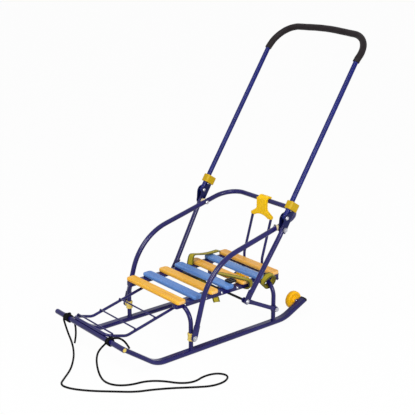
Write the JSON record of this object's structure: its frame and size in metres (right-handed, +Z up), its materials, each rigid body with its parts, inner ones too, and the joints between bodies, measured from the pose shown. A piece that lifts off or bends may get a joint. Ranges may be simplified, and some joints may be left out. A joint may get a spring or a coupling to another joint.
{
  "type": "folding push sled",
  "caption": "Child's snow sled on upturned tube runners with a slatted seat, folding armrest hoop, tall push handle, footrest, transport wheels and a tow rope.",
  "frame": {"origin": "on the floor below the middle of the sled's outline, tow rope left out", "axes": "+X to the sled's front, +Y to its left, +Z up"},
  "size_m": [1.1459, 0.5948, 0.9195],
  "materials": {
    "frame_paint": "gloss",
    "hinge_paint": "gloss",
    "black_metal": "satin",
    "slat_yellow": "gloss lacquer",
    "slat_blue": "gloss lacquer",
    "yellow_plastic": "gloss",
    "wheel_plastic": "satin",
    "black_plastic": "matte",
    "bush_plastic": "matte",
    "foam": "matte foam",
    "cord": "braided",
    "webbing": "woven",
    "zinc_steel": "zinc plated"
  },
  "bodies": {
    "frame": {"axle_left": "zinc_steel", "axle_right": "zinc_steel", "belt_left": "webbing", "belt_loop": "webbing", "belt_right": "webbing", "belt_tail": "webbing", "buckle": "black_plastic", "crossbar_plugs": "yellow_plastic", "footrest_frame": "frame_paint", "footrest_wires": "frame_paint", "front_arch": "frame_paint", "holder": "yellow_plastic", "hoop_bolts": "zinc_steel", "hoop_clamp_left": "yellow_plastic", "hoop_clamp_right": "yellow_plastic", "knot_left": "cord", "knot_right": "cord", "link_clip_left": "zinc_steel", "link_clip_right": "zinc_steel", "nose_crossbar": "frame_paint", "rear_arch": "frame_paint", "rope": "cord", "rope_tail_left": "cord", "rope_tail_right": "cord", "runner_left": "frame_paint", "runner_plugs": "black_plastic", "runner_right": "frame_paint", "seat_rail_left": "frame_paint", "seat_rail_right": "frame_paint", "slat_1": "slat_yellow", "slat_2": "slat_blue", "slat_3": "slat_yellow", "slat_4": "slat_blue", "slat_5": "slat_yellow", "slat_6": "slat_blue", "slat_7": "slat_yellow", "stay_bar": "frame_paint", "stay_left": "frame_paint", "stay_right": "frame_paint"},
    "hoop": {"hoop": "frame_paint", "strut_pins": "zinc_steel", "hoop_bushes": "bush_plastic"},
    "struts": {"strut_left": "frame_paint", "strut_right": "frame_paint", "foot_bolts": "zinc_steel", "channel_left": "hinge_paint", "channel_right": "hinge_paint", "hinge_pins": "zinc_steel"},
    "links": {"link_left": "frame_paint", "link_right": "frame_paint", "link_rod": "black_metal"},
    "handle": {"handle": "frame_paint", "grip": "foam", "sleeve_left": "yellow_plastic", "sleeve_right": "yellow_plastic"},
    "wheel_left": {"wheel_left": "wheel_plastic"},
    "wheel_right": {"wheel_right": "wheel_plastic"}
  },
  "joints": [
    {"name": "hoop_fold", "type": "hinge", "parent": "frame", "child": "hoop", "pos_m": [0.2302, 0, 0.055], "axis": [0, -1, 0], "range_deg": [0, 35]},
    {"name": "strut_fold", "type": "hinge", "parent": "hoop", "child": "struts", "pos_m": [-0.10556, 0, 0.33649], "axis": [0, -1, 0], "range_deg": [0, 16.6]},
    {"name": "link_fold", "type": "hinge", "parent": "frame", "child": "links", "pos_m": [-0.1123, 0, 0.055], "axis": [0, -1, 0], "range_deg": [-23.8, 0]},
    {"name": "handle_fold", "type": "hinge", "parent": "struts", "child": "handle", "pos_m": [-0.1125, 0, 0.374], "axis": [0, 1, 0], "range_deg": [0, 140]},
    {"name": "wheel_left_spin", "type": "hinge", "parent": "frame", "child": "wheel_left", "pos_m": [-0.2333, 0.13, 0.04157], "axis": [0, 1, 0], "continuous": true},
    {"name": "wheel_right_spin", "type": "hinge", "parent": "frame", "child": "wheel_right", "pos_m": [-0.2333, -0.13, 0.04157], "axis": [0, 1, 0], "continuous": true}
  ],
  "couplings": [
    {"joint": "strut_fold", "follows": "hoop_fold", "ratio": 0.46417},
    {"joint": "link_fold", "follows": "hoop_fold", "ratio": -0.67126}
  ]
}
